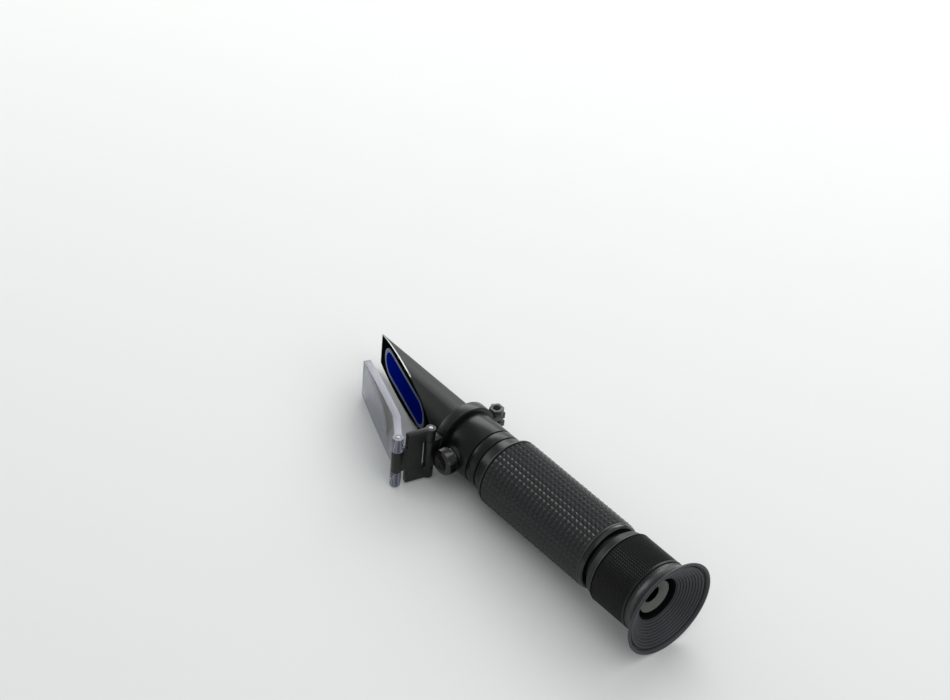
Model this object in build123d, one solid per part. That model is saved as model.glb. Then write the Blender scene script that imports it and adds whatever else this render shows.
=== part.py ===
"""Hand-held sugar refractometer with a double-hinged daylight plate.

Units are millimetres. The optical axis is the X axis and +X points to the eye.
The origin is on that axis at the middle of the rubber grip. The measuring face
looks towards -Y, and the hinge pins of the daylight plate are parallel to Z.
Each function makes one sub-part in its final place.
"""
from build123d import *
from math import asin, cos, radians, sin, sqrt
import os

# ---- fits ----
RUNNING = 0.05          # radial clearance of a shaft or sleeve that turns or slides
SIDE_GAP = 0.10         # end clearance between hinge knuckles
CLEAR = 0.35            # clearance between moving pieces that never touch

# ---- grip and main tube ----
GRIP_RADIUS = 15.0
GRIP_LENGTH = 58.2
GRIP_EDGE = 0.8
TUBE_RADIUS = 12.5
TUBE_BORE = 10.0
TUBE_FRONT = -53.7
TAIL_RADIUS = 12.0
TAIL_END = 46.0
TAIL_RING_RADIUS = 14.9
TAIL_RING_LIP = 14.3
TAIL_RING_LENGTH = 1.9
GROOVES = (-34.4, -39.4)
GROOVE_WIDTH = 0.7
GROOVE_DEPTH = 0.6
GRIP_END = GRIP_LENGTH / 2

# ---- prism housing: a round head cut by the measuring face ----
HEAD_RADIUS = 10.4
TIP_X = -117.1
TIP_Y = 7.15
FACE_ANGLE = 18.1
SPIGOT_LENGTH = 3.0
LIGHT_BORE = 7.0
LIGHT_BORE_END = -70.5
SPIGOT_END = TUBE_FRONT + SPIGOT_LENGTH
SEAL_GROOVE_DEPTH = 0.7
SEAL_GROOVE_WIDTH = 1.2

# ---- measuring prism ----
WINDOW_START = 4.4      # from the tip, along the face
WINDOW_LENGTH = 44.3
WINDOW_WIDTH = 14.2
BEVEL = 1.8
BEVEL_DEPTH = 0.8
PRISM_DEPTH = 3.2
ROOT_START = 15.0
ROOT_LENGTH = 30.0
ROOT_WIDTH = 10.0
ROOT_DEPTH = 11.0
ROOT_RADIUS = 7.6

# ---- hinge collar and its clamp ----
COLLAR_RADIUS = 14.25
COLLAR_LENGTH = 4.4
COLLAR_FRONT = TUBE_FRONT - COLLAR_LENGTH
LUG_WIDTH = 13.0
EAR_GAP = 1.2
EAR_TOP = 3.4
EAR_REACH = 19.9
CLAMP_Y = 16.9
CLAMP_SCREW_RADIUS = 1.5
NUT_ACROSS_FLATS = 5.5
NUT_HEIGHT = 2.4
SCREW_HEAD_RADIUS = 2.75
SCREW_HEAD_HEIGHT = 2.0
HEX_KEY = 2.5

# ---- double hinge ----
PIN_RADIUS = 1.0
COLLAR_PIN = (-56.4, -17.3)
PLATE_PIN = (-59.6, -31.1)
KNUCKLE_RADIUS = 2.2
LINK_THICKNESS = 2.5
LINK_WIDTH = 24.5
LINK_SHOULDER = 10.2    # from the collar pin to the tongue's root
LINK_WINDOW = 3.4       # from the collar pin to the edge of the cut for the lug
TONGUE_WIDTH = 10.7
PLATE_NOTCH = 10.9
PIN_STAND_OUT = 0.15

# ---- daylight plate ----
PLATE_THICKNESS = 3.0
PLATE_ANGLE = 21.0      # of the flat leaf to the optical axis, when open
PLATE_END = (-106.7, -10.8)
LEAF_LENGTH = 38.5
PLATE_END_WIDTH = 17.6
PLATE_MIDDLE = 14.0
PLATE_MIDDLE_WIDTH = 21.0
PLATE_ROOT_WIDTH = 23.0
PLATE_PIN_WIDTH = 24.2
NOTCH_RADIUS = 2.9

# ---- focusing eyepiece ----
KNURL_RADIUS = 15.7
RING_FRONT = 33.5
RING_FRONT_RADIUS = 14.5
KNURL_START = 37.1
RING_REAR = 55.85
RING_SHOULDER = 48.0
RING_REAR_BORE = 13.4
LOCK_START = 50.6
LOCK_END = 52.0
LOCK_BORE = 9.6
CUP_RADIUS = 20.7
CUP_RIM = 64.6
CUP_RIM_INNER = 19.2
CUP_THROAT = 9.3
CUP_THROAT_X = 57.6
CUP_NECK_RADIUS = 15.4
CELL_FRONT = 32.0
CELL_END = 50.4
CELL_BORE = 8.4
CELL_FLANGE = 12.6
CELL_FLANGE_START = 48.4
LENS_SEAT = 7.4
FIELD_LENS_X = 35.6
EYE_LENS_X = 44.6
LENS_EDGE = 1.6
LENS_CROWN = 1.1
PUPIL_RADIUS = 3.6
PUPIL_START = 53.3
PUPIL_END = 54.5
DISH_END = 56.0
DISH_RADIUS = 6.9
DISH_RIM = 7.3
DISH_INNER = 6.2
FOCUS_TRAVEL = 1.0

# ---- reticle ----
RETICLE_X = 20.0
RETICLE_THICKNESS = 2.0
RETICLE_RING_LENGTH = 3.0
RETICLE_RING_BORE = 8.2
STOP_LENGTH = 2.0
STOP_BORE = 6.0

# ---- temperature-compensated objective ----
OBJECTIVE_X = -46.7
OBJECTIVE_RADIUS = 8.0
OBJECTIVE_LENGTH = 6.0
OBJECTIVE_FLAT = 7.6
OBJECTIVE_LENS_RADIUS = 6.6
OBJECTIVE_REAR_BORE = 5.8
STRIP_THICKNESS = 0.6
STRIP_WIDTH = 6.0
STRIP_END = -22.0
STRIP_GAP = 0.07
ANCHOR_START = -26.5
ANCHOR_END = -19.5
ANCHOR_INNER = 6.4
ANCHOR_HALF_WIDTH = 5.6
RIVET_RADIUS = 0.9

# ---- zero adjustment ----
CAL_X = -48.1
BOSS_RADIUS = 5.5
BOSS_TOP = 13.0
BOSS_SPIGOT_RADIUS = 4.0
BOSS_SPIGOT_TOP = 14.4
CAL_SCREW_RADIUS = 1.45
CAL_SCREW_TIP = 8.4
CAL_SCREW_TOP = 15.2
CAL_SEAL_RADIUS = 2.4
CAL_SEAL_HEIGHT = 1.0
CAP_RADIUS = 5.5
CAP_TOP = 18.2
CAP_CAVITY_TOP = 15.9
CAP_RECESS_RADIUS = 3.2
CAP_RECESS_DEPTH = 1.4
SLOT_WIDTH = 0.6
SLOT_DEPTH = 0.8

# ---- key of the focusing cell ----
KEY_X = 40.0
KEY_RADIUS = 0.9
KEY_TIP = 8.9

LARGE = 60.0            # larger than any cut needs
OPTICAL = Axis.X
BOTH_SIDES = (-1, 1)


def turned(points):
    """Solid of revolution about the optical axis, from (x, radius) points."""
    return revolve(make_face(Polyline(*points, close=True)), OPTICAL)


def ring(x_start, x_end, inner, outer):
    """Plain ring on the optical axis."""
    return turned([(x_start, inner), (x_end, inner), (x_end, outer), (x_start, outer)])


def rod(start, end, radius):
    """Round bar from one point to another."""
    direction = Vector(*end) - Vector(*start)
    base = Plane(origin=start, z_dir=direction)
    return extrude(base * Circle(radius), direction.length)


def radial_rod(x, y_start, y_end, radius):
    """Round bar parallel to Y that crosses the optical axis."""
    return rod((x, y_start, 0), (x, y_end, 0), radius)


def upright_rod(place, z_start, z_end, radius):
    """Round bar parallel to Z at an (x, y) place."""
    return rod((place[0], place[1], z_start), (place[0], place[1], z_end), radius)


def block(low, high):
    """Box between two corners."""
    size = [b - a for a, b in zip(low, high)]
    middle = [(a + b) / 2 for a, b in zip(low, high)]
    return Pos(*middle) * Box(*size)


def lens(x_middle, radius, clear_radius):
    """Biconvex lens on the optical axis, with a flat rim outside its clear radius."""
    curve = (clear_radius**2 + LENS_CROWN**2) / (2 * LENS_CROWN)
    half_angle = asin(clear_radius / curve) / 2
    sink = curve * (1 - cos(half_angle))
    rise = curve * sin(half_angle)
    left = x_middle - LENS_EDGE / 2
    right = x_middle + LENS_EDGE / 2
    front = left - LENS_CROWN
    back = right + LENS_CROWN
    outline = [
        ThreePointArc((front, 0), (front + sink, rise), (left, clear_radius)),
        Polyline((left, clear_radius), (left, radius), (right, radius), (right, clear_radius)),
        ThreePointArc((right, clear_radius), (back - sink, rise), (back, 0)),
        Line((back, 0), (front, 0)),
    ]
    return revolve(make_face(outline), OPTICAL)


# ---- frame of the measuring face: x from the tip along the face, z outwards ----
FACE_SLOPE = radians(FACE_ANGLE)
FACE = Plane(
    origin=(TIP_X, TIP_Y, 0),
    x_dir=(cos(FACE_SLOPE), -sin(FACE_SLOPE), 0),
    z_dir=(-sin(FACE_SLOPE), -cos(FACE_SLOPE), 0),
)


def face_stadium(inset, start, end):
    """Stadium on the measuring face, inset from the window's outline, between two depths."""
    outline = SlotOverall(WINDOW_LENGTH - 2 * inset, WINDOW_WIDTH - 2 * inset)
    middle = WINDOW_START + WINDOW_LENGTH / 2
    return extrude(FACE * Pos(middle, 0, -start) * outline, start - end)


def measuring_prism():
    """Glass prism: bevelled measuring face, flange and the root that light leaves by."""
    outline = Pos(ROOT_START + ROOT_LENGTH / 2, 0, -BEVEL_DEPTH) * SlotOverall(ROOT_LENGTH, ROOT_WIDTH)
    root = extrude(FACE * outline, BEVEL_DEPTH - ROOT_DEPTH)
    root = root & ring(TIP_X, LIGHT_BORE_END, 0, ROOT_RADIUS)
    return face_stadium(BEVEL, 0, PRISM_DEPTH) + face_stadium(0, BEVEL_DEPTH, PRISM_DEPTH) + root


def prism_seal():
    """Cement bead in the bevel between the glass and the housing."""
    return face_stadium(0, 0, BEVEL_DEPTH) - face_stadium(BEVEL, 0, BEVEL_DEPTH)


def prism_housing():
    """Round head cut by the measuring face, with the prism's pocket and the light bore."""
    head = ring(TIP_X, SPIGOT_END, 0, HEAD_RADIUS)
    head -= extrude(FACE * Rectangle(2 * (SPIGOT_END - TIP_X), LARGE), LARGE)
    head -= ring(LIGHT_BORE_END, SPIGOT_END, 0, LIGHT_BORE)
    head -= face_stadium(0, 0, PRISM_DEPTH) + measuring_prism()
    seal_middle = (TUBE_FRONT + SPIGOT_END) / 2
    head -= ring(
        seal_middle - SEAL_GROOVE_WIDTH / 2, seal_middle + SEAL_GROOVE_WIDTH / 2,
        HEAD_RADIUS - SEAL_GROOVE_DEPTH, HEAD_RADIUS,
    )
    return head


def housing_seal():
    """Rubber ring in the groove of the housing's spigot."""
    middle = (TUBE_FRONT + SPIGOT_END) / 2
    return ring(
        middle - SEAL_GROOVE_WIDTH / 2, middle + SEAL_GROOVE_WIDTH / 2,
        HEAD_RADIUS - SEAL_GROOVE_DEPTH, HEAD_RADIUS,
    )


def main_tube():
    """Barrel with the zero-adjustment boss, two grooves and the thin focusing tail."""
    tube = turned([
        (TUBE_FRONT, 0), (TAIL_END, 0), (TAIL_END, TAIL_RADIUS),
        (GRIP_END, TAIL_RADIUS), (GRIP_END, TUBE_RADIUS), (TUBE_FRONT, TUBE_RADIUS),
    ])
    tube += radial_rod(CAL_X, 0, -BOSS_TOP, BOSS_RADIUS)
    tube += radial_rod(CAL_X, 0, -BOSS_SPIGOT_TOP, BOSS_SPIGOT_RADIUS)
    tube -= ring(TUBE_FRONT, TAIL_END, 0, TUBE_BORE)
    tube -= ring(TUBE_FRONT, SPIGOT_END, 0, HEAD_RADIUS)
    for x in GROOVES:
        tube -= ring(x - GROOVE_WIDTH / 2, x + GROOVE_WIDTH / 2, TUBE_RADIUS - GROOVE_DEPTH, LARGE)
    tube -= radial_rod(CAL_X, 0, -BOSS_SPIGOT_TOP, CAL_SCREW_RADIUS + RUNNING)
    tube -= radial_rod(CAL_X, CAL_SEAL_HEIGHT - BOSS_SPIGOT_TOP, -BOSS_SPIGOT_TOP, CAL_SEAL_RADIUS)
    tube -= rod((KEY_X, 0, 0), (KEY_X, 0, TAIL_RADIUS), KEY_RADIUS)
    return tube


def rubber_grip():
    """Rubber sleeve over the barrel."""
    sleeve = ring(-GRIP_END, GRIP_END, TUBE_RADIUS, GRIP_RADIUS)
    circles = sleeve.edges().filter_by(GeomType.CIRCLE).group_by(SortBy.RADIUS)
    return fillet(circles[-1], GRIP_EDGE)


def tail_ring():
    """Smooth tapered ring between the grip and the focusing ring."""
    end = GRIP_END + TAIL_RING_LENGTH
    return turned(
        [
            (GRIP_END, TAIL_RADIUS),
            (end, TAIL_RADIUS),
            (end, TAIL_RING_LIP),
            (GRIP_END, TAIL_RING_RADIUS),
        ]
    )


def hinge_collar():
    """Split clamp collar with a knuckle for the daylight plate and two clamp ears."""
    collar = ring(COLLAR_FRONT, TUBE_FRONT, 0, COLLAR_RADIUS)
    collar += block((COLLAR_FRONT, HEAD_RADIUS, -EAR_TOP), (TUBE_FRONT, EAR_REACH, EAR_TOP))
    half_lug = LUG_WIDTH / 2
    collar += block(
        (COLLAR_FRONT, COLLAR_PIN[1], -half_lug),
        (COLLAR_PIN[0] + KNUCKLE_RADIUS, -HEAD_RADIUS, half_lug),
    )
    collar += upright_rod(COLLAR_PIN, -half_lug, half_lug, KNUCKLE_RADIUS)
    collar -= ring(COLLAR_FRONT, TUBE_FRONT, 0, HEAD_RADIUS)
    collar -= block((COLLAR_FRONT, 0, -EAR_GAP / 2), (TUBE_FRONT, EAR_REACH, EAR_GAP / 2))
    collar -= upright_rod(clamp_place(), -EAR_TOP, EAR_TOP, CLAMP_SCREW_RADIUS)
    collar -= upright_rod(COLLAR_PIN, -half_lug, half_lug, PIN_RADIUS + RUNNING)
    return collar


def clamp_place():
    """Axis of the clamp screw, as (x, y)."""
    return ((COLLAR_FRONT + TUBE_FRONT) / 2, CLAMP_Y)


def collar_clamp_screw():
    """Socket-head screw through the clamp ears, head below."""
    top = EAR_TOP + NUT_HEIGHT
    screw = upright_rod(clamp_place(), -EAR_TOP, top, CLAMP_SCREW_RADIUS)
    screw += upright_rod(clamp_place(), -EAR_TOP - SCREW_HEAD_HEIGHT, -EAR_TOP, SCREW_HEAD_RADIUS)
    bottom = Plane(origin=(*clamp_place(), -EAR_TOP - SCREW_HEAD_HEIGHT))
    socket = RegularPolygon(HEX_KEY / 2, 6, major_radius=False)
    return screw - extrude(bottom * socket, SCREW_HEAD_HEIGHT / 2)


def collar_clamp_nut():
    """Hexagon nut on top of the clamp ears."""
    base = Plane(origin=(*clamp_place(), EAR_TOP))
    hexagon = RegularPolygon(NUT_ACROSS_FLATS / 2, 6, major_radius=False)
    return extrude(base * (hexagon - Circle(CLAMP_SCREW_RADIUS)), NUT_HEIGHT)


# ---- frame of the hinge link: x from the collar pin to the plate pin, y up, z outwards ----
LINK_REACH = (PLATE_PIN[0] - COLLAR_PIN[0], PLATE_PIN[1] - COLLAR_PIN[1])
LINK_LENGTH = sqrt(LINK_REACH[0] ** 2 + LINK_REACH[1] ** 2)
LINK = Plane(
    origin=(*COLLAR_PIN, 0),
    x_dir=(*LINK_REACH, 0),
    z_dir=(-LINK_REACH[1], LINK_REACH[0], 0),
)


def on_link(x_start, x_end, z_half_width, thickness):
    """Flat bar centred on the hinge link's plane."""
    middle = (x_start + x_end) / 2
    outline = Rectangle(x_end - x_start, 2 * z_half_width)
    return extrude(LINK * Pos(middle, 0) * outline, thickness / 2, both=True)


def hinge_link():
    """Forked link: two ears on the collar pin and a tongue on the plate pin."""
    half_width = LINK_WIDTH / 2
    half_tongue = TONGUE_WIDTH / 2
    half_lug = LUG_WIDTH / 2 + SIDE_GAP
    link = on_link(0, LINK_SHOULDER, half_width, LINK_THICKNESS)
    link += on_link(0, LINK_LENGTH, half_tongue, LINK_THICKNESS)
    link += upright_rod(COLLAR_PIN, -half_width, half_width, KNUCKLE_RADIUS)
    link -= on_link(-LINK_WINDOW, LINK_WINDOW, half_lug, LARGE)
    link += upright_rod(PLATE_PIN, -half_tongue, half_tongue, KNUCKLE_RADIUS)
    link -= upright_rod(COLLAR_PIN, -half_width, half_width, PIN_RADIUS)
    link -= upright_rod(PLATE_PIN, -half_tongue, half_tongue, PIN_RADIUS)
    return link


def collar_hinge_pin():
    """Steel pin pressed into the link's ears, free in the collar."""
    half = LINK_WIDTH / 2 + PIN_STAND_OUT
    return upright_rod(COLLAR_PIN, -half, half, PIN_RADIUS)


def plate_hinge_pin():
    """Steel pin pressed into the link's tongue, free in the plate."""
    half = PLATE_PIN_WIDTH / 2
    return upright_rod(PLATE_PIN, -half, half, PIN_RADIUS)


# ---- frame of the daylight plate: x from the free end along the leaf, z outwards ----
PLATE_SLOPE = radians(PLATE_ANGLE)
PLATE = Plane(
    origin=(*PLATE_END, 0),
    x_dir=(cos(PLATE_SLOPE), -sin(PLATE_SLOPE), 0),
    z_dir=(-sin(PLATE_SLOPE), -cos(PLATE_SLOPE), 0),
)


def plate_side():
    """Side view of the bent plate, in (x, y): leaf, bend and the arm to its pin."""
    along = Vector(cos(PLATE_SLOPE), -sin(PLATE_SLOPE))
    inwards = Vector(sin(PLATE_SLOPE), cos(PLATE_SLOPE))
    half = PLATE_THICKNESS / 2
    end = Vector(*PLATE_END) + inwards * half
    bend = end + along * LEAF_LENGTH
    pin = Vector(*PLATE_PIN)
    arm = (pin - bend).normalized()
    arm_inwards = Vector(-arm.Y, arm.X)
    mitre = (inwards + arm_inwards).normalized()
    mitre = mitre * (half / mitre.dot(inwards))
    return Polyline(
        end - inwards * half, bend - mitre, pin - arm_inwards * half,
        pin + arm_inwards * half, bend + mitre, end + inwards * half,
        close=True,
    )


def plate_outline():
    """Plan of the plate, seen square to its leaf: bowed sides that widen to the hinge."""
    end_half = PLATE_END_WIDTH / 2
    middle_half = PLATE_MIDDLE_WIDTH / 2
    root_half = PLATE_ROOT_WIDTH / 2
    pin_half = PLATE_PIN_WIDTH / 2
    root = LEAF_LENGTH + 1
    far = LARGE
    return make_face([
        Line((0, -end_half), (0, end_half)),
        ThreePointArc((0, end_half), (PLATE_MIDDLE, middle_half), (root, root_half)),
        Polyline((root, root_half), (far, pin_half), (far, -pin_half), (root, -root_half)),
        ThreePointArc((root, -root_half), (PLATE_MIDDLE, -middle_half), (0, -end_half)),
    ])


def daylight_plate():
    """Clear bent plate with two hinge knuckles."""
    half_pin = PLATE_PIN_WIDTH / 2
    half_notch = PLATE_NOTCH / 2
    plate = extrude(make_face(plate_side()), half_pin, both=True)
    plate = plate & extrude(PLATE * plate_outline(), LARGE / 2, both=True)
    for side in BOTH_SIDES:
        plate += upright_rod(PLATE_PIN, side * half_notch, side * half_pin, KNUCKLE_RADIUS)
    plate -= upright_rod(PLATE_PIN, -half_notch, half_notch, NOTCH_RADIUS)
    plate -= upright_rod(PLATE_PIN, -half_pin, half_pin, PIN_RADIUS + RUNNING)
    return plate


def focus_ring():
    """Focusing ring: knurled band, smooth tapered nose and a bore on the barrel's tail."""
    body = turned([
        (RING_FRONT, 0), (RING_REAR, 0), (RING_REAR, KNURL_RADIUS),
        (KNURL_START, KNURL_RADIUS), (RING_FRONT, RING_FRONT_RADIUS),
    ])
    body -= ring(RING_FRONT, RING_REAR, 0, TAIL_RADIUS + RUNNING)
    return body - ring(RING_SHOULDER, RING_REAR, 0, RING_REAR_BORE)


def eyepiece_lock_ring():
    """Threaded ring that keeps the cell's flange in the focusing ring."""
    return ring(LOCK_START, LOCK_END, LOCK_BORE, RING_REAR_BORE)


def eyecup():
    """Soft rubber eyecup: flared outside, conical inside and a neck in the focusing ring."""
    lip = 0.7
    flare_middle = ((RING_REAR + CUP_RIM - 2 * lip) / 2, (CUP_NECK_RADIUS + CUP_RADIUS) / 2 - 0.8)
    outline = [
        Polyline(
            (RING_REAR, CUP_NECK_RADIUS), (RING_REAR, RING_REAR_BORE), (LOCK_END, RING_REAR_BORE),
            (LOCK_END, CUP_THROAT), (CUP_THROAT_X, CUP_THROAT), (CUP_RIM - 2 * lip, CUP_RIM_INNER),
            (CUP_RIM - lip, CUP_RIM_INNER), (CUP_RIM, CUP_RADIUS - lip), (CUP_RIM, CUP_RADIUS),
            (CUP_RIM - lip, CUP_RADIUS), (CUP_RIM - 2 * lip, CUP_RADIUS - lip),
        ),
        ThreePointArc((CUP_RIM - 2 * lip, CUP_RADIUS - lip), flare_middle, (RING_REAR, CUP_NECK_RADIUS)),
    ]
    return revolve(make_face(outline), OPTICAL)


def field_lens():
    """Front lens of the eyepiece."""
    return lens(FIELD_LENS_X, CELL_BORE, LENS_SEAT)


def eye_lens():
    """Rear lens of the eyepiece."""
    return lens(EYE_LENS_X, CELL_BORE, LENS_SEAT)


def lens_cell():
    """Sliding cell of the eyepiece, with a keyway for the guide pin."""
    outer = TUBE_BORE - RUNNING
    cell = ring(CELL_FRONT, CELL_END, LENS_SEAT, outer)
    cell += ring(CELL_FLANGE_START, CELL_END, LENS_SEAT, CELL_FLANGE)
    cell -= ring(FIELD_LENS_X - LENS_EDGE / 2, CELL_END, 0, CELL_BORE)
    keyway = KEY_RADIUS + RUNNING
    half_length = FOCUS_TRAVEL + KEY_RADIUS + CLEAR
    return cell - block((KEY_X - half_length, -keyway, 0), (KEY_X + half_length, keyway, LARGE))


def lens_spacer():
    """Tube between the two eyepiece lenses, short of the keyway's pin."""
    start = FIELD_LENS_X + LENS_EDGE / 2
    end = EYE_LENS_X - LENS_EDGE / 2
    spacer = ring(start, end, LENS_SEAT, CELL_BORE)
    return spacer - block((start, -KEY_RADIUS - CLEAR, 0), (end, KEY_RADIUS + CLEAR, LARGE))


def lens_retaining_ring():
    """Threaded ring that holds the eye lens, with a dished face round the pupil."""
    return turned([
        (EYE_LENS_X + LENS_EDGE / 2, LENS_SEAT), (EYE_LENS_X + LENS_EDGE / 2, CELL_BORE),
        (CELL_END, CELL_BORE), (DISH_END, DISH_RIM), (DISH_END, DISH_RADIUS),
        (PUPIL_END, PUPIL_RADIUS), (PUPIL_START, PUPIL_RADIUS), (PUPIL_START, DISH_INNER),
        (CELL_END, LENS_SEAT),
    ])


def focus_guide_pin():
    """Pin that keeps the cell from turning while it slides."""
    return rod((KEY_X, 0, KEY_TIP), (KEY_X, 0, TAIL_RADIUS), KEY_RADIUS)


def reticle_glass():
    """Glass disc that carries the scale."""
    return ring(RETICLE_X, RETICLE_X + RETICLE_THICKNESS, 0, TUBE_BORE)


def reticle_ring():
    """Threaded ring that holds the scale's disc."""
    start = RETICLE_X + RETICLE_THICKNESS
    return ring(start, start + RETICLE_RING_LENGTH, RETICLE_RING_BORE, TUBE_BORE)


def field_stop():
    """Blackened ring in front of the scale that stops stray light."""
    return ring(RETICLE_X - STOP_LENGTH, RETICLE_X, STOP_BORE, TUBE_BORE)


def objective_cell():
    """Ring round the objective lens, flat where the bimetal strip is riveted on."""
    start = OBJECTIVE_X - OBJECTIVE_LENGTH / 2
    end = OBJECTIVE_X + OBJECTIVE_LENGTH / 2
    cell = ring(start, end, OBJECTIVE_REAR_BORE, OBJECTIVE_RADIUS)
    cell -= ring(start, OBJECTIVE_X + LENS_EDGE / 2, 0, OBJECTIVE_LENS_RADIUS)
    cell -= block((start, OBJECTIVE_FLAT, -LARGE), (end, LARGE, LARGE))
    return cell


def objective_lens():
    """Objective lens that images the boundary line on the scale."""
    return lens(OBJECTIVE_X, OBJECTIVE_LENS_RADIUS, OBJECTIVE_REAR_BORE)


def strip_rivets():
    """Two rivets that hold the bimetal strip on the objective's cell."""
    rivets = []
    for side in BOTH_SIDES:
        place = (OBJECTIVE_X + side * OBJECTIVE_LENGTH / 4, OBJECTIVE_FLAT + STRIP_THICKNESS, 0)
        top = (place[0], place[1] + STRIP_THICKNESS, 0)
        rivets.append(rod(place, top, RIVET_RADIUS))
    return Compound(rivets)


def atc_bimetal_strip():
    """Bimetal strip that bends with temperature and carries the objective."""
    half = STRIP_WIDTH / 2
    return block(
        (OBJECTIVE_X - OBJECTIVE_LENGTH / 2, OBJECTIVE_FLAT, -half),
        (STRIP_END, OBJECTIVE_FLAT + STRIP_THICKNESS, half),
    )


def strip_anchor():
    """Block on the barrel's wall whose slot holds the fixed end of the strip."""
    half = STRIP_WIDTH / 2 + STRIP_GAP
    anchor = block(
        (ANCHOR_START, ANCHOR_INNER, -ANCHOR_HALF_WIDTH),
        (ANCHOR_END, TUBE_BORE, ANCHOR_HALF_WIDTH),
    )
    anchor = anchor & ring(ANCHOR_START, ANCHOR_END, 0, TUBE_BORE)
    return anchor - block(
        (ANCHOR_START, OBJECTIVE_FLAT - STRIP_GAP, -half),
        (STRIP_END + CLEAR, OBJECTIVE_FLAT + STRIP_THICKNESS + STRIP_GAP, half),
    )


def calibration_screw():
    """Slotted grub screw that sets the zero."""
    screw = radial_rod(CAL_X, -CAL_SCREW_TIP, -CAL_SCREW_TOP, CAL_SCREW_RADIUS)
    half = SLOT_WIDTH / 2
    return screw - block(
        (CAL_X - half, -CAL_SCREW_TOP, -CAL_SCREW_RADIUS),
        (CAL_X + half, SLOT_DEPTH - CAL_SCREW_TOP, CAL_SCREW_RADIUS),
    )


def calibration_seal():
    """Rubber ring round the zero screw, in the boss's counterbore."""
    outer = radial_rod(CAL_X, CAL_SEAL_HEIGHT - BOSS_SPIGOT_TOP, -BOSS_SPIGOT_TOP, CAL_SEAL_RADIUS)
    hole = radial_rod(CAL_X, 0, -BOSS_SPIGOT_TOP, CAL_SCREW_RADIUS + 2 * RUNNING)
    return outer - hole


def calibration_cap():
    """Round push-on cap over the zero screw, with a recess in its end."""
    cap = radial_rod(CAL_X, -BOSS_TOP - RUNNING, -CAP_TOP, CAP_RADIUS)
    cap = fillet(cap.edges().group_by(Axis.Y)[0], 0.5)
    cap -= radial_rod(CAL_X, 0, -CAP_CAVITY_TOP, BOSS_SPIGOT_RADIUS + RUNNING)
    return cap - radial_rod(CAL_X, CAP_RECESS_DEPTH - CAP_TOP, -CAP_TOP, CAP_RECESS_RADIUS)


PARTS = {
    "main_tube": main_tube,
    "prism_housing": prism_housing,
    "measuring_prism": measuring_prism,
    "prism_seal": prism_seal,
    "housing_seal": housing_seal,
    "rubber_grip": rubber_grip,
    "tail_ring": tail_ring,
    "hinge_collar": hinge_collar,
    "collar_clamp_screw": collar_clamp_screw,
    "collar_clamp_nut": collar_clamp_nut,
    "hinge_link": hinge_link,
    "collar_hinge_pin": collar_hinge_pin,
    "plate_hinge_pin": plate_hinge_pin,
    "daylight_plate": daylight_plate,
    "focus_ring": focus_ring,
    "eyepiece_lock_ring": eyepiece_lock_ring,
    "eyecup": eyecup,
    "lens_cell": lens_cell,
    "field_lens": field_lens,
    "lens_spacer": lens_spacer,
    "eye_lens": eye_lens,
    "lens_retaining_ring": lens_retaining_ring,
    "focus_guide_pin": focus_guide_pin,
    "reticle_glass": reticle_glass,
    "reticle_ring": reticle_ring,
    "field_stop": field_stop,
    "objective_cell": objective_cell,
    "objective_lens": objective_lens,
    "strip_rivets": strip_rivets,
    "atc_bimetal_strip": atc_bimetal_strip,
    "strip_anchor": strip_anchor,
    "calibration_screw": calibration_screw,
    "calibration_seal": calibration_seal,
    "calibration_cap": calibration_cap,
}

os.makedirs("parts", exist_ok=True)
for node, make in PARTS.items():
    export_step(make(), f"parts/{node}.step")
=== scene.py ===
from math import cos, hypot, pi, radians, sin

import bmesh
import bpy
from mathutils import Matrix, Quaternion, Vector


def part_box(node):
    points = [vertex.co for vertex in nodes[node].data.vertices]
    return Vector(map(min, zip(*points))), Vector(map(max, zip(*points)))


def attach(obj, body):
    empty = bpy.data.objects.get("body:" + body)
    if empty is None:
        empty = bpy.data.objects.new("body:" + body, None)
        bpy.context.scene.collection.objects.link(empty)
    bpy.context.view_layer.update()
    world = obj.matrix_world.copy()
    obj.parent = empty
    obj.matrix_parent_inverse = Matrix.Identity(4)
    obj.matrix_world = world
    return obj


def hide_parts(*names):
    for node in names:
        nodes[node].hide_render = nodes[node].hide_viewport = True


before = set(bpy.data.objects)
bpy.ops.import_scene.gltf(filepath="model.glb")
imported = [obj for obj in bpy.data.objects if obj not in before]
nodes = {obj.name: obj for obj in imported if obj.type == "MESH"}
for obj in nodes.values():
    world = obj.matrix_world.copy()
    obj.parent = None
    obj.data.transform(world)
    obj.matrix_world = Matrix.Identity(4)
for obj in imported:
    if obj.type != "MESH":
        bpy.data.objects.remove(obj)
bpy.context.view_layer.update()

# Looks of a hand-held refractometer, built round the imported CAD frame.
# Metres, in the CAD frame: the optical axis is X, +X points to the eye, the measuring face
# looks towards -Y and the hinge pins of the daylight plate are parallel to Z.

MM = 0.001


# ---- camera: looks down on the eyecup's side, from the measuring face's side ----
CAMERA_TARGET = Vector((-0.09376, 0.03799, 0.0))
CAMERA_PLACE = Vector((0.5367, -0.5601, 0.7154))
CAMERA_ROLL = radians(5.337)
CAMERA_LENS = 103.45
SENSOR = 36.0


def make_camera():
    data = bpy.data.cameras.new("camera")
    data.lens = CAMERA_LENS
    data.sensor_width = SENSOR
    data.clip_start = 0.01
    camera = bpy.data.objects.new("camera", data)
    bpy.context.scene.collection.objects.link(camera)
    look = (CAMERA_TARGET - CAMERA_PLACE).to_track_quat("-Z", "Y")
    camera.location = CAMERA_PLACE
    camera.rotation_mode = "QUATERNION"
    camera.rotation_quaternion = look @ Quaternion((0, 0, 1), CAMERA_ROLL)
    bpy.context.scene.camera = camera


# ---- materials ----
GRAIN_CONTRAST = (0.35, 0.65)   # part of the noise that carries the variation
GRAIN_DETAIL = 3
RELIEF_STRENGTH = 0.6
LEAST_ROUGHNESS = 0.02


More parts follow.
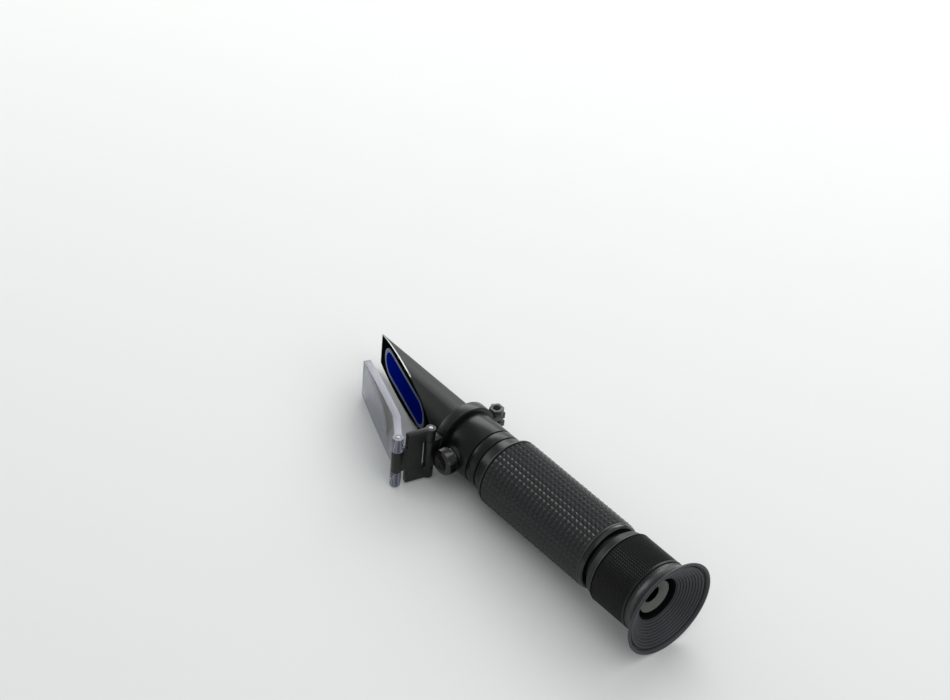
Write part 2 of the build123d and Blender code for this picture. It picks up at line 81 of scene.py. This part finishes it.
def surface(name, colour, roughness, grain=1500, mottle=0.15, spread=0.05, bump=0.02,
            metallic=0.0, level=0.5):
    """Opaque material whose colour, gloss and relief vary with a fine grain."""
    material = bpy.data.materials.new(name)
    material.use_nodes = True
    tree = material.node_tree
    shader = tree.nodes["Principled BSDF"]
    shader.inputs["Metallic"].default_value = metallic
    shader.inputs["Specular IOR Level"].default_value = level
    noise = grain_noise(tree, grain)
    mix = tree.nodes.new("ShaderNodeMix")
    mix.data_type = "RGBA"
    colours = [socket for socket in mix.inputs if socket.type == "RGBA"]
    colours[0].default_value = [c * (1 - mottle) for c in colour] + [1]
    colours[1].default_value = [min(1, c * (1 + mottle)) for c in colour] + [1]
    tree.links.new(noise.outputs["Fac"], mix.inputs["Factor"])
    result = [socket for socket in mix.outputs if socket.type == "RGBA"][0]
    tree.links.new(result, shader.inputs["Base Color"])
    gloss = tree.nodes.new("ShaderNodeMapRange")
    gloss.inputs["From Min"].default_value = GRAIN_CONTRAST[0]
    gloss.inputs["From Max"].default_value = GRAIN_CONTRAST[1]
    gloss.inputs["To Min"].default_value = max(LEAST_ROUGHNESS, roughness - spread)
    gloss.inputs["To Max"].default_value = min(1, roughness + spread)
    tree.links.new(noise.outputs["Fac"], gloss.inputs["Value"])
    tree.links.new(gloss.outputs["Result"], shader.inputs["Roughness"])
    relief(tree, shader, noise, bump)
    return material


def grain_noise(tree, scale):
    place = tree.nodes.new("ShaderNodeTexCoord")
    noise = tree.nodes.new("ShaderNodeTexNoise")
    noise.inputs["Scale"].default_value = scale
    noise.inputs["Detail"].default_value = GRAIN_DETAIL
    tree.links.new(place.outputs["Object"], noise.inputs["Vector"])
    return noise


def relief(tree, shader, noise, depth):
    """Bump of the given depth in millimetres."""
    bump = tree.nodes.new("ShaderNodeBump")
    bump.inputs["Strength"].default_value = RELIEF_STRENGTH
    bump.inputs["Distance"].default_value = depth * MM
    tree.links.new(noise.outputs["Fac"], bump.inputs["Height"])
    tree.links.new(bump.outputs["Normal"], shader.inputs["Normal"])


def clear(name, colour, ior, roughness, share=1.0):
    """Clear or tinted glass; share is the part of its light that passes through."""
    material = bpy.data.materials.new(name)
    material.use_nodes = True
    tree = material.node_tree
    shader = tree.nodes["Principled BSDF"]
    shader.inputs["Base Color"].default_value = (*colour, 1)
    shader.inputs["Roughness"].default_value = roughness
    shader.inputs["IOR"].default_value = ior
    shader.inputs["Transmission Weight"].default_value = share
    return material


ANODISED = surface("anodised", (0.004, 0.0045, 0.004), 0.30, grain=4000, bump=0.003, level=0.27)
HOUSING = surface("housing", (0.005, 0.0056, 0.005), 0.52, grain=3000, bump=0.004, level=0.36)
FACE_PAINT = surface("face_paint", (0.0025, 0.0028, 0.0028), 0.8, grain=3000, level=0.0)
RING_METAL = surface("ring_metal", (0.004, 0.0045, 0.004), 0.40, grain=4000, bump=0.003, level=0.24)
PLASTIC = surface("plastic", (0.005, 0.0056, 0.0052), 0.34, grain=1800, bump=0.006, level=0.36)
GLOSS = surface("gloss", (0.004, 0.004, 0.004), 0.16, grain=900, spread=0.03, bump=0.001)
GRIP = surface("grip", (0.007, 0.009, 0.0095), 0.36, grain=2500, bump=0.004, level=0.5)
CUP = surface("cup", (0.026, 0.030, 0.033), 0.45, grain=2500, bump=0.008, level=0.4)
CUP_FLARE = surface("cup_flare", (0.009, 0.010, 0.011), 0.34, grain=2500, bump=0.001, level=0.4)
SEAL = surface("seal", (0.006, 0.006, 0.006), 0.6, grain=2500)
STEEL = surface("steel", (0.42, 0.43, 0.42), 0.28, grain=3000, mottle=0.06, metallic=1.0)
DARK_STEEL = surface("dark_steel", (0.022, 0.024, 0.022), 0.34, grain=3000)
PIN_STEEL = surface("pin_steel", (0.24, 0.25, 0.24), 0.36, grain=3000, metallic=1.0)
BIMETAL = surface("bimetal", (0.55, 0.45, 0.28), 0.35, grain=2000, metallic=1.0)
CEMENT = surface("cement", (0.08, 0.115, 0.17), 0.30, grain=700, mottle=0.25, bump=0.01, level=0.1)
PRISM = surface("prism", (0.0, 0.006, 0.17), 0.06, grain=120, spread=0.02, bump=0.0, level=0.0)
RETAINER_PAINTED_LIGHT = surface("retainer", (0.085, 0.09, 0.083), 0.5, grain=3000)
# painted highlight: bright metal painted on chamfers, standing in for the bright lines of light along
# those edges
HIGHLIGHT_METAL = surface("highlight_metal", (0.36, 0.38, 0.37), 0.34, grain=3000, metallic=1.0)
PLATE_EDGE = surface("plate_edge", (0.90, 0.91, 0.97), 0.40, grain=900, mottle=0.03)
ACRYLIC = clear("acrylic", (0.30, 0.32, 0.39), 1.49, 0.03)
ACRYLIC_EDGE = clear("acrylic_edge", (0.56, 0.57, 0.66), 1.49, 0.30, share=0.7)
LENS = clear("lens", (0.90, 0.95, 0.97), 1.52, 0.01)
INNER = surface("inner", (0.002, 0.002, 0.002), 0.7, grain=2000, level=0.1)


# ---- meshes ----
WELD = 1e-6             # metres, vertices of a CAD mesh that are closer become one
LATHE_WELD = 1e-7
FLAT_ANGLE = radians(0.3)
EVEN = 1e-6             # millimetres, difference of radii in a quad that counts as flat


def new_piece(name, mesh, body, slot, *replaced):
    piece = bpy.data.objects.new(name, mesh)
    bpy.context.scene.collection.objects.link(piece)
    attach(piece, body)
    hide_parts(*replaced)


def lathe_mesh(name, rows, angles, smooth_angle, closed=True, place=None):
    """Surface about the optical axis. rows is a list of (x, radii) in millimetres, where radii is
    one radius or one for each angle. It is a loop, or if not closed it starts and ends on the axis.
    place(x, y, z), where given, turns and moves the finished shape."""
    count = len(angles)
    grid = []
    for x, radii in rows:
        if not isinstance(radii, (list, tuple)):
            radii = [radii] * count
        grid.append((x, radii))
    vertices = [
        (x * MM, r * MM * cos(a), r * MM * sin(a))
        for x, radii in grid for r, a in zip(radii, angles)
    ]
    if place:
        vertices = [place(*vertex) for vertex in vertices]
    faces = []
    for i in range(len(grid) if closed else len(grid) - 1):
        k = (i + 1) % len(grid)
        for j in range(count):
            m = (j + 1) % count
            quad = (i * count + j, i * count + m, k * count + m, k * count + j)
            radii = (grid[i][1][j], grid[i][1][m], grid[k][1][m], grid[k][1][j])
            faces += split_quad(quad, radii)
    mesh = bpy.data.meshes.new(name)
    mesh.from_pydata(vertices, [], faces)
    finish_mesh(mesh, smooth_angle)
    return mesh


def split_quad(quad, radii):
    """A pyramid's hip runs from its highest corner, so a bent quad is cut there."""
    a, b, c, d = quad
    if abs(radii[0] + radii[2] - radii[1] - radii[3]) < EVEN:
        return [quad]
    if max(radii[0], radii[2]) > max(radii[1], radii[3]):
        return [(a, b, c), (a, c, d)]
    return [(a, b, d), (b, c, d)]


def finish_mesh(mesh, smooth_angle):
    work = bmesh.new()
    work.from_mesh(mesh)
    bmesh.ops.remove_doubles(work, verts=work.verts, dist=LATHE_WELD)
    bmesh.ops.recalc_face_normals(work, faces=work.faces)
    work.to_mesh(mesh)
    work.free()
    for polygon in mesh.polygons:
        polygon.use_smooth = True
    mesh.set_sharp_from_angle(angle=radians(smooth_angle))


def rounded_copy(node, width, segments=2, corner=30, smooth_angle=40, wanted=None):
    """Mesh of a CAD node with its sharp edges rounded, width in millimetres. wanted(edge) picks
    the edges to round."""
    source = nodes[node].data
    work = bmesh.new()
    work.from_mesh(source)
    for layer in list(work.loops.layers.float_vector.values()):
        work.loops.layers.float_vector.remove(layer)
    bmesh.ops.remove_doubles(work, verts=work.verts, dist=WELD)
    bmesh.ops.dissolve_limit(work, angle_limit=FLAT_ANGLE, verts=work.verts, edges=work.edges)
    sharp = [
        edge for edge in work.edges
        if edge.is_manifold and edge.calc_face_angle() > radians(corner)
        and (wanted is None or wanted(edge))
    ]
    bmesh.ops.bevel(
        work, geom=sharp, offset=width * MM, offset_type="OFFSET", segments=segments,
        profile=0.5, affect="EDGES", clamp_overlap=wanted is None,
    )
    mesh = bpy.data.meshes.new(node + "_finish")
    work.to_mesh(mesh)
    work.free()
    if "custom_normal" in mesh.attributes:
        mesh.attributes.remove(mesh.attributes["custom_normal"])
    finish_mesh(mesh, smooth_angle)
    mesh.materials.clear()
    return mesh


def paint(mesh, material, wanted):
    """Gives another material to the faces for which wanted(normal, centre) holds."""
    mesh.materials.append(material)
    last = len(mesh.materials) - 1
    for polygon in mesh.polygons:
        if wanted(polygon.normal, polygon.center):
            polygon.material_index = last


# ---- rubber grip: rows of small pyramids between two plain beads ----
GRIP_COLUMNS = 41
GRIP_ROWS = 24
GRIP_DEPTH = 0.65
TUBE_RADIUS = 12.5
BEAD = 0.9
BEAD_DROP = 0.12        # the beads' crown below the tips of the pyramids
BEAD_SECTION = ((0.0, 0.30), (0.12, 0.08), (0.35, 0.0), (0.65, 0.0), (0.88, 0.08))   # share, drop
CELL_STATIONS = ((0.0, 0), (0.42, 1), (0.58, 1))   # along a cell: groove, then a small flat top


def grip_sleeve():
    low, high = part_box("rubber_grip")
    start, end, outer = low.x / MM, high.x / MM, high.z / MM
    pitch = (end - start - 2 * BEAD) / GRIP_ROWS
    floor = outer - GRIP_DEPTH
    cells = [(c + u, up) for c in range(GRIP_COLUMNS) for u, up in CELL_STATIONS]
    angles = [2 * pi * u / GRIP_COLUMNS for u, up in cells]
    rows = bead_rows(start, start + BEAD, outer, floor)
    for row in range(GRIP_ROWS):
        for u, up in CELL_STATIONS:
            x = start + BEAD + (row + u) * pitch
            rows.append((x, [floor + GRIP_DEPTH * min(up, across) for _, across in cells]))
    rows += bead_rows(end, end - BEAD, outer, floor)[::-1]
    rows += [(end, TUBE_RADIUS), (start, TUBE_RADIUS)]
    mesh = lathe_mesh("grip_sleeve", rows, angles, smooth_angle=25)
    mesh.materials.append(GRIP)
    new_piece("grip_sleeve", mesh, "barrel", "grip_rubber", "rubber_grip")


def bead_rows(edge, inside, outer, floor):
    """Rounded end bead, from the sleeve's end face inwards."""
    run = inside - edge
    crown = outer - BEAD_DROP
    section = [(edge + share * run, crown - drop) for share, drop in BEAD_SECTION]
    return [(edge, floor), *section, (inside, floor)]


# ---- focusing ring: tapered nose, chamfer, fine knurl and a plain bead ----
KNURL_COLUMNS = 90
KNURL_PITCH = 1.03
KNURL_DEPTH = 0.42
KNURL_MARGIN = 0.45
KNURL_EDGE = 0.1
RING_BEAD = 1.3
CHAMFER = 0.45
NOSE_ROUND = 0.25
REAR_ROUND = 0.35
BEAD_RISE = ((0.12, 0.05), (0.3, 0.0))      # behind the knurl, below the outer radius
KNURL_START = 37.1
RING_FRONT_RADIUS = 14.5
RING_BORE = 12.05
RING_REAR_BORE = 13.4
RING_SHOULDER = 48.0


def knurled_ring():
    low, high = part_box("focus_ring")
    front, rear, outer = low.x / MM, high.x / MM, high.z / MM
    floor = outer - KNURL_DEPTH
    angles = [pi * i / KNURL_COLUMNS for i in range(2 * KNURL_COLUMNS)]
    knurl_first = KNURL_START + KNURL_MARGIN
    knurl_last = rear - RING_BEAD
    count = round((knurl_last - knurl_first) / KNURL_PITCH)
    pitch = (knurl_last - knurl_first) / count
    rows = [
        (front, RING_BORE), (front, RING_FRONT_RADIUS - NOSE_ROUND),
        (front + NOSE_ROUND, RING_FRONT_RADIUS), (KNURL_START - CHAMFER, outer - CHAMFER),
        (KNURL_START, outer), (knurl_first - KNURL_EDGE, outer), (knurl_first, floor),
    ]
    crest = [floor + KNURL_DEPTH * (i % 2) for i in range(2 * KNURL_COLUMNS)]
    for i in range(count):
        rows.append((knurl_first + (i + 0.5) * pitch, crest))
        rows.append((knurl_first + (i + 1) * pitch, floor))
    rows += [(knurl_last + behind, outer - drop) for behind, drop in BEAD_RISE]
    rows += [
        (rear - REAR_ROUND, outer), (rear, outer - REAR_ROUND), (rear, RING_REAR_BORE),
        (RING_SHOULDER, RING_REAR_BORE), (RING_SHOULDER, RING_BORE),
    ]
    mesh = lathe_mesh("knurled_ring", rows, angles, smooth_angle=25)
    mesh.materials.append(RING_METAL)
    # painted highlight: the chamfer in front of the knurl is painted bright metal for the bright line of
    # light along it
    chamfer = (KNURL_START - CHAMFER) * MM
    paint(mesh, HIGHLIGHT_METAL, lambda normal, centre: (
        chamfer < centre.x < KNURL_START * MM and hypot(centre.y, centre.z) > RING_FRONT_RADIUS * MM
    ))
    new_piece("knurled_ring", mesh, "focus", "black_anodised", "focus_ring")


# ---- eyecup: ribbed neck, flared rubber lip and a ridged inner cone ----
CUP_SEGMENTS = 180
CUP_LIP = 0.7
CUP_NECK = 15.4
CUP_THROAT = 9.3
CUP_THROAT_X = 57.6
CUP_RIM_INNER = 19.2
CUP_SEAT = 52.0
RIDGES = 9
RIDGE_HEIGHT = 0.38
RIDGE_SECTION = ((0.0, 0.0), (0.2, 0.75), (0.45, 1.0), (0.7, 0.75), (0.9, 0.0))   # share, height
RIB_SEGMENTS = 3        # segments of the neck from one groove to the next
RIB_DEPTH = 0.18
RIB_START = 0.25        # the neck's bands, measured from the focusing ring
RIB_END = 1.1
NECK_GROOVE = 1.3
FLARE_START = 1.5
# Sections of the lip and of the groove behind it. Each point is so many lip widths back from the
# rim, then so many lip widths below the outer radius, or millimetres below CUP_RIM_INNER.
LIP_SECTION = ((1.7, 0.45), (1.0, 0.0), (0.35, 0.0), (0.08, 0.2), (0.0, 0.5), (0.0, 0.9), (0.15, 1.2))
GROOVE_SECTION = ((1.1, 0.0), (2.3, 0.05), (2.4, 0.35))
CONE_START = 1.8        # lip widths back from the rim
CONE_DROP = 0.7
CONE_END = (0.1, 0.35)  # past the throat's edge, along and across
FLARE_SAG = 0.8
FLARE_STEPS = 10
FLARE_PAINT_END = 1.9   # lip widths back from the rim
FLARE_PAINT_DROP = 0.9
THROAT_ROUND = (0.2, 0.15)
THROAT_SHADE_RISE = 0.1


def soft_eyecup():
    low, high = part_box("eyecup")
    rim_x, rim = high.x / MM, high.z / MM
    neck_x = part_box("focus_ring")[1].x / MM
    angles = [2 * pi * i / CUP_SEGMENTS for i in range(CUP_SEGMENTS)]
    ribbed = [CUP_NECK - (0 if i % RIB_SEGMENTS else RIB_DEPTH) for i in range(CUP_SEGMENTS)]
    rows = [
        (neck_x, RING_REAR_BORE), (neck_x, CUP_NECK - RIB_DEPTH), (neck_x + RIB_START, ribbed),
        (neck_x + RIB_END, ribbed), (neck_x + NECK_GROOVE, CUP_NECK - RIB_DEPTH / 2),
    ]
    rows += flare_rows(neck_x + FLARE_START, CUP_NECK, rim_x - 2 * CUP_LIP, rim - CUP_LIP)
    rows += [(rim_x - back * CUP_LIP, rim - down * CUP_LIP) for back, down in LIP_SECTION]
    rows += [(rim_x - back * CUP_LIP, CUP_RIM_INNER - down) for back, down in GROOVE_SECTION]
    rows += cone_rows(rim_x - CONE_START * CUP_LIP, CUP_RIM_INNER - CONE_DROP)
    rows += [
        (CUP_THROAT_X, CUP_THROAT + THROAT_ROUND[1]), (CUP_THROAT_X - THROAT_ROUND[0], CUP_THROAT),
        (CUP_SEAT, CUP_THROAT), (CUP_SEAT, RING_REAR_BORE),
    ]
    mesh = lathe_mesh("soft_eyecup", rows, angles, smooth_angle=50)
    mesh.materials.append(CUP)
    # painted shade: the throat and the bore behind it are painted near black, darker than the rubber, for
    # the shade in that recess
    paint(mesh, INNER, lambda normal, centre: (
        centre.x < CUP_THROAT_X * MM and hypot(centre.y, centre.z) < (CUP_THROAT + THROAT_SHADE_RISE) * MM
    ))
    flare_end = (rim_x - FLARE_PAINT_END * CUP_LIP) * MM
    paint(mesh, CUP_FLARE, lambda normal, centre: (
        centre.x < flare_end and hypot(centre.y, centre.z) > (CUP_NECK - FLARE_PAINT_DROP) * MM
        and normal.y * centre.y + normal.z * centre.z > 0
    ))
    new_piece("soft_eyecup", mesh, "focus", "cup_rubber", "eyecup")


def flare_rows(x_start, r_start, x_end, r_end):
    """Hollow curve of the flare, a parabola that sags towards the axis in its middle."""
    rows = []
    for i in range(FLARE_STEPS + 1):
        t = i / FLARE_STEPS
        x = x_start + (x_end - x_start) * t
        rows.append((x, r_start + (r_end - r_start) * t - 4 * FLARE_SAG * t * (1 - t)))
    return rows


def cone_rows(x_start, r_start):
    """Inner cone as a run of low round ridges, from the rim down to the throat."""
    rows = []
    run_x = CUP_THROAT_X + CONE_END[0] - x_start
    run_r = CUP_THROAT + CONE_END[1] - r_start
    length = hypot(run_x, run_r)
    normal_x, normal_r = -run_r / length, run_x / length
    for ridge in range(RIDGES):
        for u, up in RIDGE_SECTION:
            t = (ridge + u) / RIDGES
            rows.append((
                x_start + run_x * t + normal_x * RIDGE_HEIGHT * up,
                r_start + run_r * t + normal_r * RIDGE_HEIGHT * up,
            ))
    return rows


# ---- cap of the zero screw: a knob with ribbed sides and a dished crown, turned about -Y ----
CAP_RIBS = 44
CAP_RIB_DEPTH = 0.14
CAP_BORE = 4.05
CAP_CEILING = 2.3       # from the cap's crown down to the bore's end
CAP_DISH_DEPTH = 0.35
CAP_DISH = ((0.0, 3.5), (0.3, 3.0), (0.8, 1.6), (1.0, 0))       # share of the depth, radius
CAP_RIB_START = 1.0     # above the base
CAP_RIB_END = 0.9       # below the crown
CAP_FOOT = ((0.0, 0.4), (0.25, 0.15), (0.9, 0.15))      # above the base, below the outer radius
CAP_CROWN = ((0.8, 0.12), (0.45, 0.2), (0.12, 0.55), (0.0, 1.0))    # below crown, below radius


def ribbed_cap():
    low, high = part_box("calibration_cap")
    middle = (low.x + high.x) / 2
    outer = (high.x - low.x) / 2 / MM
    base, crown = -high.y / MM, -low.y / MM
    angles = [pi * i / CAP_RIBS for i in range(2 * CAP_RIBS)]
    ribs = [outer - CAP_RIB_DEPTH * (i % 2) for i in range(2 * CAP_RIBS)]
    rows = [(crown - CAP_CEILING, 0), (crown - CAP_CEILING, CAP_BORE), (base, CAP_BORE)]
    rows += [(base + up, outer - drop) for up, drop in CAP_FOOT]
    rows += [(base + CAP_RIB_START, ribs), (crown - CAP_RIB_END, ribs)]
    rows += [(crown - down, outer - drop) for down, drop in CAP_CROWN]
    rows += [(crown - share * CAP_DISH_DEPTH, radius) for share, radius in CAP_DISH]
    mesh = lathe_mesh(
        "ribbed_cap", rows, angles, smooth_angle=30, closed=False,
        place=lambda x, y, z: (middle + y, -x, z),
    )
    mesh.materials.append(GLOSS)
    new_piece("ribbed_cap", mesh, "zero_cap", "gloss_black", "calibration_cap")


# ---- daylight plate: clear leaf with bright edges ----
PLATE_ROUND = 0.3
PLATE_SLOPE = radians(21)
LEAF_WAY = Vector((cos(PLATE_SLOPE), -sin(PLATE_SLOPE), 0))     # from the leaf's free end to its hinge
FACING = 0.93           # cosine from which a face counts as one of the plate's sides
SIDE_EDGE = 0.25        # cosines from which it counts as a rounded edge, of a side or the free end
END_EDGE = 0.5


def clear_plate():
    mesh = rounded_copy("daylight_plate", PLATE_ROUND, segments=3, corner=25)
    mesh.materials.append(ACRYLIC)
    paint(mesh, ACRYLIC_EDGE, lambda normal, centre: (
        abs(normal.z) > FACING or normal.dot(LEAF_WAY) < -FACING
    ))
    paint(mesh, PLATE_EDGE, lambda normal, centre: (
        SIDE_EDGE < abs(normal.z) <= FACING or -FACING <= normal.dot(LEAF_WAY) < -END_EDGE
    ))
    new_piece("clear_plate", mesh, "plate", "clear_acrylic", "daylight_plate")


# ---- head: the measuring face is matt black, its chamfer has a painted highlight of bright metal towards the tip ----
FACE_SLOPE = radians(18.1)
FACE_NORMAL = Vector((-sin(FACE_SLOPE), -cos(FACE_SLOPE), 0))
HEAD_RADIUS = 10.4
FACE_CHAMFER = 0.38
HIGHLIGHT_END = -86.0        # the chamfer's painted highlight runs from the tip to here
ON_FACE = 0.98          # cosine from which a face counts as part of the measuring face
ON_PLANE = 0.02         # millimetres from the measuring face that still count as on it
OUTLINE_REACH = 0.1     # millimetres inside the head's radius that still count as its outline
CHAMFER_REACH = 0.7
CHAMFER_BAND = (-0.6, -0.005)   # heights over the measuring face between which the chamfer lies
TIP_REACH = 0.01


def tip_of_face():
    """Lowest point of the head's front end, in the middle plane, where the face begins."""
    low_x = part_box("prism_housing")[0].x
    reach = low_x + TIP_REACH * MM
    low_y = min(v.co.y for v in nodes["prism_housing"].data.vertices if v.co.x < reach)
    return Vector((low_x, low_y, 0))


def chamfered_housing():
    """Head with a chamfer round the painted measuring face, kept behind the tip's own plane."""
    tip = tip_of_face()

    def height(point):
        return (point - tip).dot(FACE_NORMAL) / MM

    def on_outline(edge):
        return all(
            abs(height(v.co)) < ON_PLANE and hypot(v.co.y, v.co.z) > (HEAD_RADIUS - OUTLINE_REACH) * MM
            for v in edge.verts
        )

    mesh = rounded_copy("prism_housing", FACE_CHAMFER, segments=1, wanted=on_outline)
    for vertex in mesh.vertices:
        vertex.co.x = max(vertex.co.x, tip.x)
    mesh.materials.append(HOUSING)
    paint(mesh, FACE_PAINT, lambda normal, centre: normal.dot(FACE_NORMAL) > ON_FACE)
    # painted highlight: the chamfer near the tip is painted bright metal where the bright line of light
    # lies
    paint(mesh, HIGHLIGHT_METAL, lambda normal, centre: (
        normal.dot(FACE_NORMAL) < ON_FACE and CHAMFER_BAND[0] < height(centre) < CHAMFER_BAND[1]
        and hypot(centre.y, centre.z) > (HEAD_RADIUS - CHAMFER_REACH) * MM
        and centre.x < HIGHLIGHT_END * MM
    ))
    new_piece("chamfered_housing", mesh, "barrel", "black_anodised", "prism_housing")


# ---- ring that holds the eye lens: its dish painted grey as painted light, black elsewhere ----
RETAINER_ROUND = 0.12
DISH_FACING = 0.3       # cosine with the axis from which a face belongs to the dish


def dished_retainer():
    mesh = rounded_copy("lens_retaining_ring", RETAINER_ROUND)
    mesh.materials.append(INNER)
    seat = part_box("eyepiece_lock_ring")[1].x
    # painted light: the dish, which faces the eye side, is painted lighter grey than the black ring to
    # stand in for the light falling on it
    paint(mesh, RETAINER_PAINTED_LIGHT, lambda normal, centre: normal.x > DISH_FACING and centre.x > seat)
    new_piece(
        "dished_retainer", mesh, "eyepiece_cell", "black_anodised", "lens_retaining_ring",
    )


# ---- the other visible parts keep their CAD shape, those in ROUNDED with rounded edges ----
ROUNDED = (
    ("main_tube", "barrel", "black_anodised", ANODISED, 0.12),
    ("tail_ring", "barrel", "gloss_black", GLOSS, 0.45),
    ("hinge_collar", "barrel", "black_plastic", PLASTIC, 0.35),
    ("collar_clamp_screw", "barrel", "steel", INNER, 0.15),
    ("collar_clamp_nut", "barrel", "steel", DARK_STEEL, 0.15),
    ("hinge_link", "link", "black_plastic", PLASTIC, 0.3),
    ("collar_hinge_pin", "link", "steel", PIN_STEEL, 0.15),
    ("plate_hinge_pin", "link", "steel", PIN_STEEL, 0.15),
    ("prism_seal", "barrel", "cement", CEMENT, 0.08),
)
KEPT = {
    "measuring_prism": PRISM, "housing_seal": SEAL, "focus_guide_pin": STEEL,
    "reticle_glass": LENS, "reticle_ring": INNER, "field_stop": INNER, "strip_anchor": INNER,
    "calibration_seal": SEAL, "lens_cell": INNER, "field_lens": LENS, "lens_spacer": INNER,
    "eye_lens": LENS, "eyepiece_lock_ring": INNER, "objective_cell": INNER,
    "objective_lens": LENS, "strip_rivets": STEEL, "atc_bimetal_strip": BIMETAL,
    "calibration_screw": STEEL,
}


def dress_frame():
    for node, body, slot, material, width in ROUNDED:
        mesh = rounded_copy(node, width)
        mesh.materials.append(material)
        new_piece(node + "_finish", mesh, body, slot, node)
    for node, material in KEPT.items():
        nodes[node].data.materials.clear()
        nodes[node].data.materials.append(material)


# ---- floor: touches the eyecup's rim and the underside of the head ----
FLOOR_SIZE = 3.0
FLOOR = surface("floor", (0.80, 0.81, 0.79), 0.6, grain=60, mottle=0.01, bump=0.01, level=0.2)


def make_floor():
    rim_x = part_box("eyecup")[1].x
    rim_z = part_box("eyecup")[0].z
    rise = min(
        (v.co.z - rim_z) / (rim_x - v.co.x)
        for v in nodes["prism_housing"].data.vertices
    )
    half = FLOOR_SIZE / 2
    corners = [
        (x, y, rim_z + rise * (rim_x - x))
        for x, y in ((-half, -half), (half, -half), (half, half), (-half, half))
    ]
    mesh = bpy.data.meshes.new("floor")
    mesh.from_pydata(corners, [], [(0, 1, 2, 3)])
    mesh.materials.append(FLOOR)
    floor = bpy.data.objects.new("floor", mesh)
    bpy.context.scene.collection.objects.link(floor)


# ---- light ----
AIM = Vector((-0.02, 0, 0))
SOFTBOXES = (
    # name, direction from the object, distance, width, height, watts
    ("back", (-0.50, 0.72, 0.50), 1.1, 1.1, 0.6, 7.5),
    ("side", (-0.90, -0.25, 0.28), 1.0, 0.7, 0.4, 2.5),
    ("top", (0.35, 0.30, 0.90), 1.3, 2.4, 2.4, 9.5),
    ("eye", (0.95, -0.05, 0.30), 1.2, 0.6, 0.4, 1.6),
)
WORLD_COLOUR = (0.95, 0.98, 1.0)
WORLD_STRENGTH = 0.44


def make_lights():
    for name, direction, distance, width, height, power in SOFTBOXES:
        data = bpy.data.lights.new(name, "AREA")
        data.shape = "RECTANGLE"
        data.size = width
        data.size_y = height
        data.energy = power
        light = bpy.data.objects.new(name, data)
        light.location = AIM + Vector(direction).normalized() * distance
        light.rotation_mode = "QUATERNION"
        light.rotation_quaternion = (AIM - light.location).to_track_quat("-Z", "Y")
        bpy.context.scene.collection.objects.link(light)
    world = bpy.data.worlds.new("world")
    world.use_nodes = True
    background = world.node_tree.nodes["Background"]
    background.inputs["Color"].default_value = (*WORLD_COLOUR, 1)
    background.inputs["Strength"].default_value = WORLD_STRENGTH
    bpy.context.scene.world = world


bpy.context.scene.view_settings.view_transform = "Standard"
make_camera()
grip_sleeve()
knurled_ring()
soft_eyecup()
ribbed_cap()
clear_plate()
chamfered_housing()
dished_retainer()
dress_frame()
make_floor()
make_lights()
